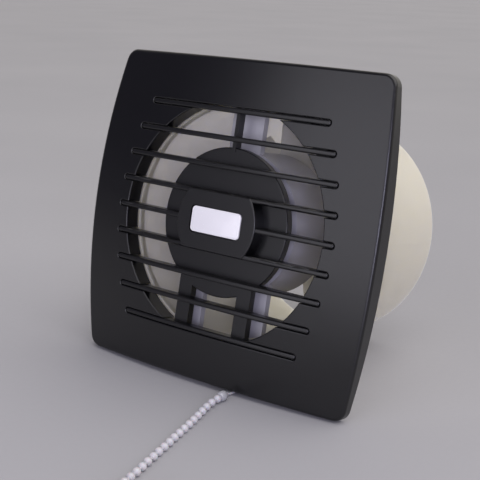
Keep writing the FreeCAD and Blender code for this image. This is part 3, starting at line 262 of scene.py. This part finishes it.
def pan_screw(mesh, place, shank, length, head, rise, forwards=False):
    """Add a screw with its seat at place and its shank backwards along the duct, in millimetres."""
    screw = bmesh.new()
    rim = head / 2
    turn_profile(screw, [
        (length, 0), (length, shank * 0.3), (length - shank * 0.3, shank / 2), (0, shank / 2), (0, rim),
        (-rise * 0.45, rim), (-rise * 0.85, rim * 0.86), (-rise, rim * 0.62)], 24)
    bmesh.ops.contextual_create(screw, geom=[e for e in screw.edges if e.is_boundary])
    bmesh.ops.recalc_face_normals(screw, faces=screw.faces[:])
    arm = head * 0.075
    reach = head * 0.26

    def crown():
        return [f for f in screw.faces if all(v.co.y < -0.99 * rise * millimetre for v in f.verts)]

    for way in ((1, 0, 0), (0, 0, 1)):
        for offset in (-reach, -arm, arm, reach):
            flat = crown()
            parts = set(flat) | {e for f in flat for e in f.edges} | {v for f in flat for v in f.verts}
            bmesh.ops.bisect_plane(screw, geom=list(parts), dist=0.0001 * millimetre, plane_no=way,
                                   plane_co=Vector(way) * offset * millimetre)
    cross = []
    for face in crown():
        middle = face.calc_center_median() / millimetre
        across, up = abs(middle.x), abs(middle.z)
        if max(across, up) < reach and min(across, up) < arm:
            cross.append(face)
    bmesh.ops.inset_region(screw, faces=cross, thickness=0.1 * arm * millimetre,
                           depth=-0.5 * rise * millimetre)
    if forwards:
        screw.transform(Matrix.Rotation(math.pi, 4, "X"))
    screw.transform(Matrix.Translation(Vector(place) * millimetre))
    data = bpy.data.meshes.new("screw")
    screw.to_mesh(data)
    screw.free()
    mesh.from_mesh(data)


def screw_group(name, places, replaced, material=zinc_plate, slot="screw_steel", **sizes):
    """One piece of like screws along the duct."""
    mesh = bmesh.new()
    for place in places:
        pan_screw(mesh, place, **sizes)
    mesh.transform(fan_place)
    add_piece(name, mesh, material, "fan_body", slot, replaced)


def ring_places(circle, depth):
    """Three places on a circle about the duct's axis."""
    angles = [math.radians(a) for a in (90, 210, 330)]
    return [(circle / 2 * math.cos(a), depth, circle / 2 * math.sin(a)) for a in angles]


clamp_circle, clamp_seat = 54.0, 58.0
cup_circle, cup_seat = 40.0, 12.4
screw_group("motor_clamp_bolts", ring_places(clamp_circle, clamp_seat), "motor_bolts", shank=3.0, length=36.0,
            head=6.0, rise=2.0, forwards=True)
screw_group("motor_cup_screws", ring_places(cup_circle, cup_seat), "cup_screws", shank=3.0, length=8.0,
            head=6.0, rise=2.0)

# Impeller: seven twisted blades on a cup-shaped hub, in one white ABS moulding, pushed on the shaft.
# It comes from a polished mould, so it is glossier than the housing and cooler in its white.
see_through = thin_wall | {"Subsurface Weight": 0.3, "Subsurface Scale": 3 * millimetre}
gloss_abs = moulded_plastic("white_gloss_abs", "#dad8d3", "#e4e2dd", 0.26, 0.36, sockets=see_through)
impeller_front, impeller_back = 62.0, 86.0
impeller_middle = Vector((0, (impeller_front + impeller_back) / 2, 0)) * millimetre
impeller_radius = 55.6
hub_radius = 21.0
hub_wall = 2.0
boss_radius = 7.0
boss_setback = 4.0
shaft_radius = 3.0
blade_count = 7
blade_wall = 1.7
blade_setback = 0.5
blade_round = 0.5
blade_steps = 8
blade_root = hub_radius - hub_wall / 2
root_pitch, tip_pitch = math.radians(48), math.radians(30)
root_chord, tip_chord = 31.0, 35.0
camber = 2.2
impeller_mesh = bmesh.new()
line = [impeller_mesh.verts.new((share * root_chord, camber * (1 - 4 * share ** 2), 0))
        for share in (-0.5, -0.3, 0.0, 0.3, 0.5)]
edges = [impeller_mesh.edges.new(pair) for pair in zip(line, line[1:])]
impeller_mesh.transform(Matrix.Scale(millimetre, 4))
impeller_mesh.transform(Matrix.Translation(impeller_middle + Vector((0, 0, blade_root * millimetre)))
                        @ Matrix.Rotation(root_pitch, 4, "Z"))
blade_step = (impeller_radius - blade_root) / blade_steps * millimetre
twist_step = Matrix.Rotation((tip_pitch - root_pitch) / blade_steps, 3, "Z")
widening = (tip_chord / root_chord) ** (1 / blade_steps)
for step in range(blade_steps):
    grown = bmesh.ops.extrude_edge_only(impeller_mesh, edges=edges)["geom"]
    line = [g for g in grown if isinstance(g, bmesh.types.BMVert)]
    edges = [g for g in grown if isinstance(g, bmesh.types.BMEdge) and all(v in line for v in g.verts)]
    bmesh.ops.translate(impeller_mesh, verts=line, vec=(0, 0, blade_step))
    bmesh.ops.rotate(impeller_mesh, verts=line, cent=impeller_middle, matrix=twist_step)
    bmesh.ops.scale(impeller_mesh, verts=line, vec=(widening, widening, 1),
                    space=Matrix.Translation(-impeller_middle))
bmesh.ops.solidify(impeller_mesh, geom=impeller_mesh.faces[:], thickness=blade_wall * millimetre)
blade_low = (impeller_front + blade_setback) * millimetre
blade_high = (impeller_back - blade_setback) * millimetre
for vert in impeller_mesh.verts:
    trim = min(1.0, impeller_radius * millimetre / math.hypot(vert.co.x, vert.co.z))
    vert.co = (vert.co.x * trim, min(max(vert.co.y, blade_low), blade_high), vert.co.z * trim)
blade_rim = [e for e in impeller_mesh.edges if e.calc_face_angle(0) > math.radians(50)]
bmesh.ops.bevel(impeller_mesh, geom=blade_rim, offset=blade_round * millimetre, affect="EDGES", segments=2,
                profile=0.5, material=-1)
blade = impeller_mesh.verts[:] + impeller_mesh.edges[:] + impeller_mesh.faces[:]
bmesh.ops.spin(impeller_mesh, geom=blade, axis=(0, 1, 0), cent=(0, 0, 0), steps=blade_count - 1,
               angle=2 * math.pi * (blade_count - 1) / blade_count, use_duplicate=True)
turn_profile(impeller_mesh, [
    (impeller_back, shaft_radius), (impeller_back, hub_radius - 2.0), (impeller_back - 0.6, hub_radius - 0.6),
    (impeller_back - 2.0, hub_radius), (impeller_front + 0.4, hub_radius), (impeller_front, hub_radius - 0.4),
    (impeller_front, hub_radius - hub_wall), (impeller_back - hub_wall, hub_radius - hub_wall),
    (impeller_back - hub_wall, boss_radius), (impeller_front + boss_setback + 0.4, boss_radius),
    (impeller_front + boss_setback, boss_radius - 0.4), (impeller_front + boss_setback, shaft_radius),
], 64, closed=True)
bmesh.ops.recalc_face_normals(impeller_mesh, faces=impeller_mesh.faces[:])
impeller_mesh.transform(fan_place)
add_piece("impeller_moulding", impeller_mesh, gloss_abs, "rotor", "impeller_white", "impeller")

# Impeller nut: zinc-plated hexagon nut on the shaft's threaded end.
# Its corners are turned off, as on any pressed nut.
nut_width = 10.0
nut_height = 4.0
nut_corner = 0.4
nut_mesh = bmesh.new()
bmesh.ops.create_circle(nut_mesh, segments=6, radius=nut_width / 2 / math.cos(math.pi / 6) * millimetre)
bmesh.ops.create_circle(nut_mesh, segments=24, radius=shaft_radius * millimetre)
bmesh.ops.bridge_loops(nut_mesh, edges=nut_mesh.edges[:])
thick = bmesh.ops.extrude_face_region(nut_mesh, geom=nut_mesh.faces[:])["geom"]
bmesh.ops.translate(nut_mesh, verts=[g for g in thick if isinstance(g, bmesh.types.BMVert)],
                    vec=(0, 0, nut_height * millimetre))
bmesh.ops.recalc_face_normals(nut_mesh, faces=nut_mesh.faces[:])
nut_corners = [e for e in nut_mesh.edges if min(v.co.xy.length for v in e.verts) > nut_width / 2 * millimetre]
bmesh.ops.bevel(nut_mesh, geom=nut_corners, offset=nut_corner * millimetre, affect="EDGES", segments=2,
                profile=0.5, material=-1)
nut_mesh.transform(fan_place @ Matrix.Translation((0, impeller_back * millimetre, 0))
                   @ Matrix.Rotation(-math.pi / 2, 4, "X"))
add_piece("hexagon_nut", nut_mesh, zinc_plate, "rotor", "screw_steel", "impeller_nut")

# Cable grommet: soft black rubber ring, buttoned into the cable entry of the back plate.
# Moulded rubber is dull, with a dusty bloom.
grommet_low, grommet_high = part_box("cable_grommet")
grommet_middle = fan_place.inverted() @ ((Vector(grommet_low) + Vector(grommet_high)) / 2)
grommet_front, grommet_back = 7.4, 12.4
grommet_lip = 1.5
grommet_flange, grommet_waist, grommet_bore = 6.5, 5.0, 3.0
lip_round = 0.5
grommet_mesh = bmesh.new()
turn_profile(grommet_mesh, [
    (grommet_front + lip_round, grommet_bore), (grommet_front, grommet_bore + lip_round),
    (grommet_front, grommet_flange - lip_round), (grommet_front + lip_round, grommet_flange),
    (grommet_front + grommet_lip, grommet_flange), (grommet_front + grommet_lip, grommet_waist),
    (grommet_back - grommet_lip, grommet_waist), (grommet_back - grommet_lip, grommet_flange),
    (grommet_back, grommet_flange - lip_round), (grommet_back, grommet_bore + lip_round),
    (grommet_back - lip_round, grommet_bore)], 40, closed=True)
bmesh.ops.recalc_face_normals(grommet_mesh, faces=grommet_mesh.faces[:])
grommet_mesh.transform(fan_place @ Matrix.Translation((grommet_middle.x, 0, grommet_middle.z)))
add_piece("rubber_grommet", grommet_mesh,
          moulded_plastic("black_moulded_rubber", "#19191a", "#2c2c2d", 0.62, 0.82, patch_mm=3.0),
          "fan_body", "grommet_rubber", "cable_grommet")

# Terminal block: natural polyamide, milky and a little translucent, for the supply wires.
# Three turned brass screws clamp the wires in it.
dress(moulded_plastic("milky_polyamide", "#cfcbbc", "#e2dfd4", 0.34, 0.44, patch_mm=8.0, sockets=see_through),
      "terminal_block")
terminal_low, terminal_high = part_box("terminal_screws")
terminal_middle = fan_place.inverted() @ ((Vector(terminal_low) + Vector(terminal_high)) / 2) / millimetre
terminal_pitch = 22.0 / 3
terminal_seat = 7.1
screw_group("terminal_clamp_screws",
            [(terminal_middle.x + i * terminal_pitch, terminal_seat, terminal_middle.z) for i in (-1, 0, 1)],
            "terminal_screws", cloudy_metal("turned_brass", "#a98642", "#d8b56d", 1.0, 0.24, 0.36),
            "terminal_brass", shank=2.0, length=1.2, head=2.9, rise=0.6)

# Pull switch: white urea case held on the plate by two screws through its ears.
# Its acetal slider is pulled down by the string; urea is dense and glossy.
dress(moulded_plastic("white_urea_moulding", "#dbd9d3", "#e8e6e1", 0.3, 0.42, patch_mm=9.0), "switch_body",
      "switch_slider")
switch_middle = 19.5
ear_reach = 11.5
ear_seat = 8.4
ear_height = -68.5
screw_group("switch_ear_screws",
            [(switch_middle + side * ear_reach, ear_seat, ear_height) for side in (-1, 1)],
            "switch_screws", shank=2.4, length=2.0, head=4.1, rise=1.6)

# Leads: PVC insulated wires over the plate, from the terminals to the switch and on to the motor.
# Extruded PVC has a waxy gloss.
dress(moulded_plastic("brown_extruded_pvc", "#553520", "#714b2f", 0.34, 0.48, patch_mm=5.0), "motor_lead",
      "switch_lead")

# Front cover and grille: black ABS mouldings; the bars lie in slots of the cover, set in from behind.
# The mould's spark-eroded skin spreads a lamp's reflection into a broad satin sheen.
matt_skin = {"Specular IOR Level": 0.5}
dress(moulded_plastic("black_satin_abs", "#060608", "#0a0a0c", 0.28, 0.33, relief_mm=0.001,
                      sockets=matt_skin), "front_cover")
dress(moulded_plastic("black_smooth_abs", "#08080a", "#0d0d0f", 0.3, 0.36, relief_mm=0.001,
                      sockets=matt_skin), "grille")

# Badge: small plate of pearl-white acrylic glued into the block of the grille, left blank.
# Its face is polished and its edge is rounded.
badge_width, badge_height, badge_corner = 29.4, 12.6, 2.0
badge_front, badge_back = -3.7, -2.7
badge_edge = 0.35
badge_mesh = bmesh.new()
bmesh.ops.create_cube(badge_mesh, size=millimetre)
bmesh.ops.scale(badge_mesh, verts=badge_mesh.verts[:],
                vec=(badge_width, badge_back - badge_front, badge_height))
badge_corners = [e for e in badge_mesh.edges if e.verts[0].co.y * e.verts[1].co.y < 0]
bmesh.ops.bevel(badge_mesh, geom=badge_corners, offset=badge_corner * millimetre, affect="EDGES", segments=8,
                profile=0.5, material=-1)
badge_rim = [e for e in badge_mesh.edges if all(v.co.y < 0 for v in e.verts)]
bmesh.ops.bevel(badge_mesh, geom=badge_rim, offset=badge_edge * millimetre, affect="EDGES", segments=3,
                profile=0.5, material=-1)
badge_mesh.transform(fan_place @ Matrix.Translation((0, (badge_front + badge_back) / 2 * millimetre, 0)))
add_piece("blank_badge", badge_mesh,
          moulded_plastic("pearl_white_acrylic", "#f2f1f3", "#f7f6f8", 0.2, 0.28, patch_mm=7.0,
                          sockets={"Coat Weight": 0.3}),
          "fan_body", "badge_white", "badge_plate")

# Cover screw: plated pan screw, sunk in the lower wall of the cover from below.
# It draws the cover to the boss of the back plate.
cover_screw_depth = 7.3
cover_screw_seat = -79.0
cover_screw_mesh = bmesh.new()
pan_screw(cover_screw_mesh, (0, 0, 0), shank=3.0, length=8.0, head=6.0, rise=0.8)
cover_screw_mesh.transform(fan_place
                           @ Matrix.Translation(Vector((0, cover_screw_depth, cover_screw_seat)) * millimetre)
                           @ Matrix.Rotation(math.pi / 2, 4, "X"))
add_piece("sunk_cover_screw", cover_screw_mesh, zinc_plate, "fan_body", "screw_steel", "cover_screw")

# Pull chain: white polystyrene beads moulded on a thin string, which is tied to the switch's slider.
# It comes out under the cover's lower edge and lies on the table; the rest of it is coiled and tied.
string_route = [(19.5, -61.94, 7.75), (19.5, -63.34, 0.65), (19.5, -70.06, 1.2), (19.59, -71.96, 2.5)]
connector_start = Vector((19.7, -73.56, 2.5))
connector_end = Vector((20.08, -79.05, 2.5))
chain_route = [(20.64, -87.03, 2.5), (23.6, -98.5, 2.0), (26.6, -109.5, 2.0), (29.4, -121.5, 2.0),
               (32.6, -134.0, 2.0), (35.4, -146.5, 2.0), (38.6, -159.0, 2.0), (41.4, -171.0, 2.3),
               (45.0, -183.0, 2.9), (50.4, -200.0, 2.9)]
bead_diameter = 4.0
bead_pitch = 5.0
string_diameter = 1.2
coil_turns = 2.25
coil_pitch = 4.6
coil_middle_radius = 20.9
coil_layer = 4.5
points_per_turn = 16
coil_start = Vector(chain_route[-1])
heading = coil_start - Vector(chain_route[-2])
heading.normalize()
coil_outside = coil_middle_radius + coil_pitch * coil_turns / 4
coil_centre = coil_start + Vector((-heading.y, heading.x, 0)) * coil_outside + heading * bead_diameter
coil_start_angle = math.atan2(-heading.x, heading.y)
control_share = 1 / math.cos(math.pi / points_per_turn)
coil_route = [tuple(coil_start + heading * bead_diameter / 2)]
for step in range(int(coil_turns * points_per_turn) + 1):
    turn = step / points_per_turn
    radius = (coil_outside - coil_pitch * min(turn, coil_turns - turn)) * control_share
    climb = min(max((turn - coil_turns / 2 + 0.25) / 0.5, 0), 1)
    angle = coil_start_angle + 2 * math.pi * turn
    coil_route.append((coil_centre.x + radius * math.cos(angle), coil_centre.y + radius * math.sin(angle),
                       coil_start.z + coil_layer * climb * climb * (3 - 2 * climb)))
tail_turn = math.radians(24)
tail_length = 13.0
knob_height = 4.0
coil_end = Vector(coil_route[-1])
coil_end_way = Vector((-math.sin(angle), math.cos(angle), 0))
tail_way = Matrix.Rotation(-tail_turn, 3, "Z") @ coil_end_way
tail_end = coil_end + (coil_end_way + tail_way) * tail_length
tail_end.z = knob_height
knob_start = tail_end + tail_way * bead_diameter
tail_route = [tuple(coil_end + coil_end_way * tail_length / 2), tuple(tail_end - tail_way * tail_length / 2),
              tuple(tail_end), tuple(knob_start)]
route = string_route + [tuple(connector_start), tuple(connector_end)] + chain_route + coil_route + tail_route


def route_mesh(thickness):
    """Mesh of a smooth curve whose control points are the route's points."""
    curve = bpy.data.curves.new("route", "CURVE")
    curve.dimensions = "3D"
    curve.bevel_depth = thickness / 2 * millimetre
    curve.bevel_resolution = 2
    curve.use_fill_caps = True
    spline = curve.splines.new("NURBS")
    spline.points.add(len(route) - 1)
    for point, place in zip(spline.points, route):
        point.co = [c * millimetre for c in place] + [1.0]
    spline.order_u = 3
    spline.use_endpoint_u = True
    spline.resolution_u = 6
    holder = bpy.data.objects.new("route", curve)
    scene.collection.objects.link(holder)
    bpy.context.view_layer.update()
    data = bpy.data.meshes.new_from_object(holder.evaluated_get(bpy.context.evaluated_depsgraph_get()))
    bpy.data.objects.remove(holder)
    return data


chain_line = [v.co.copy() for v in route_mesh(0).vertices]
chain_mesh = bmesh.new()
chain_mesh.from_mesh(route_mesh(string_diameter))
beads_from = min(range(len(chain_line)), key=lambda i: (chain_line[i] - connector_end * millimetre).length)
walked = 0.0
next_bead = bead_pitch * 0.3 * millimetre
for here, after in zip(chain_line[beads_from:], chain_line[beads_from + 1:]):
    stretch = (after - here).length
    while walked + stretch >= next_bead:
        place = here.lerp(after, (next_bead - walked) / stretch)
        bmesh.ops.create_icosphere(chain_mesh, subdivisions=2, radius=bead_diameter / 2 * millimetre,
                                   matrix=Matrix.Translation(place))
        next_bead += bead_pitch * millimetre
    walked += stretch
bmesh.ops.recalc_face_normals(chain_mesh, faces=chain_mesh.faces[:])
bead_polystyrene = moulded_plastic("white_bead_polystyrene", "#bfbec2", "#cdccd0", 0.2, 0.28, patch_mm=2.5,
                                   sockets={"Subsurface Weight": 0.1, "Subsurface Scale": millimetre})
bead_chain = add_piece("bead_chain", chain_mesh, bead_polystyrene, None, "chain_white", "pull_chain",
                       "chain_coil", "pull_string")

# Connector: small bell of milky clear polypropylene that joins the string to the chain.
# It snaps round the first bead, which shows through it.


def turned_piece(name, start, way, profile, material, slot, replaced):
    """Piece turned about way from start: profile gives (distance, radius) in millimetres."""
    mesh = bmesh.new()
    turn_profile(mesh, profile, 32)
    bmesh.ops.recalc_face_normals(mesh, faces=mesh.faces[:])
    mesh.transform(Matrix.Translation(start * millimetre)
                   @ Vector((0, 1, 0)).rotation_difference(way).to_matrix().to_4x4())
    return add_piece(name, mesh, material, "fan_body", slot, replaced)


connector = turned_piece("bell_connector", connector_start, connector_end - connector_start,
                         [(0.0, 0), (0.0, 1.2), (0.25, 1.7), (1.1, 2.2), (2.4, 2.5), (3.6, 2.5), (4.9, 2.2),
                          (5.4, 1.8), (5.5, 1.3), (5.5, 0)],
                         moulded_plastic("clear_polypropylene", "#b4b5ba", "#c3c4c9", 0.2, 0.28, patch_mm=4.0,
                                         sockets={"Transmission Weight": 0.2}), "connector_clear",
                         "chain_connector")

# Pull knob: white polystyrene acorn on the end of the chain.
# The last bead is moulded into its neck.
knob = turned_piece("acorn_knob", knob_start, tail_way,
                    [(0, 0), (0, 1.8), (0.4, 2.3), (1.5, 2.5), (6.0, 3.2), (9.5, 3.9), (13.0, 4.0),
                     (15.0, 3.5), (15.8, 2.4), (16.0, 0)], bead_polystyrene, "knob_white", "pull_knob")

# Coil tie: flat black tie, plastic over a wire, bent round both layers of the coil.
# It holds the length of chain that is put away.
tie_low, tie_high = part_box("coil_tie")
tie_middle = (Vector(tie_low) + Vector(tie_high)) / 2
tie_height = tie_high[2] - tie_low[2]
tie_angle = coil_start_angle + math.pi * 1.5
tie_depth = 6.9
tie_width, tie_wall = 3.0, 0.6
tie_bend = 2.0
tie_mesh = bmesh.new()
bmesh.ops.create_cube(tie_mesh, size=1.0)
bmesh.ops.scale(tie_mesh, verts=tie_mesh.verts[:],
                vec=(tie_depth * millimetre, tie_width * millimetre, tie_height))
bmesh.ops.delete(tie_mesh, geom=[f for f in tie_mesh.faces if abs(f.normal.y) > 0.9], context="FACES_ONLY")
tie_bends = [e for e in tie_mesh.edges if e.verts[0].co.y * e.verts[1].co.y < 0]
bmesh.ops.bevel(tie_mesh, geom=tie_bends, offset=tie_bend * millimetre, affect="EDGES", segments=6,
                profile=0.5, material=-1)
bmesh.ops.recalc_face_normals(tie_mesh, faces=tie_mesh.faces[:])
bmesh.ops.solidify(tie_mesh, geom=tie_mesh.faces[:], thickness=tie_wall * millimetre)
tie_mesh.transform(Matrix.Translation(tie_middle) @ Matrix.Rotation(tie_angle, 4, "Z"))
tie = add_piece("wire_tie", tie_mesh,
                moulded_plastic("black_coated_wire", "#141415", "#252526", 0.4, 0.6, patch_mm=2.0),
                "fan_body", "tie_black", "coil_tie")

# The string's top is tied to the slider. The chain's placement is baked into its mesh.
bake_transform(bead_chain)

# Table: plain pale painted board that the fan stands on, far wider than the picture.
# Its grey varies slowly, as a rolled coat does.
table_reach = 20.0
table_mesh = bmesh.new()
bmesh.ops.create_grid(table_mesh, x_segments=1, y_segments=1, size=table_reach)
table_data = bpy.data.meshes.new("table")
table_mesh.to_mesh(table_data)
table_mesh.free()
table_data.materials.append(moulded_plastic("painted_table_top", "#a1a1a5", "#acacaf", 0.6, 0.7,
                                            patch_mm=260.0, grain_mm=3.0,
                                            sockets={"Specular IOR Level": 0.15}))
table = bpy.data.objects.new("table", table_data)
scene.collection.objects.link(table)

# Light: a wide soft light overhead, and a room that is dim and cool in front and bright behind.
# The brightness behind lights the spigot and shines through the duct, as daylight would. A lamp in front
# gives the black cover its sheen, which grows towards the right, and a weak one on the right fills the duct.
scene.view_settings.view_transform = "Standard"
world = bpy.data.worlds.new("studio")
scene.world = world
world.use_nodes = True
room = world.node_tree
room_way = add_node(room, "TexCoord", {}).outputs["Generated"]
room_depth = add_node(room, "SeparateXYZ", {"Vector": room_way}).outputs["Y"]
behind = add_node(room, "MapRange", {"Value": room_depth, "From Min": -0.4}).outputs["Result"]
room_tone = add_node(room, "Mix", {0: behind, 6: linear("#484658"), 7: linear("#f8f3ec")}, data_type="RGBA")
set_sockets(room, room.nodes["Background"], {"Color": room_tone.outputs[2]})
fan_middle = Vector((0, 0, 0.08))


def add_light(name, kind, place, power, colour, **options):
    """Light at place that faces the middle of the fan and doesn't show itself."""
    light = bpy.data.lights.new(name, kind)
    light.energy = power
    light.color = linear(colour)[:3]
    for option, value in options.items():
        setattr(light, option, value)
    holder = bpy.data.objects.new(name, light)
    holder.location = place
    holder.rotation_euler = (Vector(place) - fan_middle).to_track_quat("Z", "Y").to_euler()
    holder.visible_camera = False
    scene.collection.objects.link(holder)


add_light("tent_light", "SUN", (0.45, 0.05, 1.0), 2.0, "#fbf7f6", angle=math.radians(70))
add_light("front_lamp", "AREA", (-0.2, -1.4, 0.53), 7.0, "#f8f6ff", size=1.1)
add_light("right_lamp", "AREA", (0.9, -1.1, 0.35), 8.0, "#e6e3ff", size=0.6)

# Camera: where the photograph was taken from, 15 degrees above the table and 36 degrees to the right.
camera_data = bpy.data.cameras.new("camera")
camera_data.sensor_width = 36.0
camera_data.lens = 77.61
camera = bpy.data.objects.new("camera", camera_data)
camera_place = Vector((0.293856, -0.444867, 0.204714))
camera_aim = Vector((0.00008, -0.03796, 0.06861))
camera_roll = math.radians(1.68)
camera.location = camera_place
camera.rotation_mode = "QUATERNION"
camera.rotation_quaternion = ((camera_aim - camera_place).to_track_quat("-Z", "Y")
                              @ Quaternion((0, 0, 1), camera_roll))
scene.collection.objects.link(camera)
scene.camera = camera
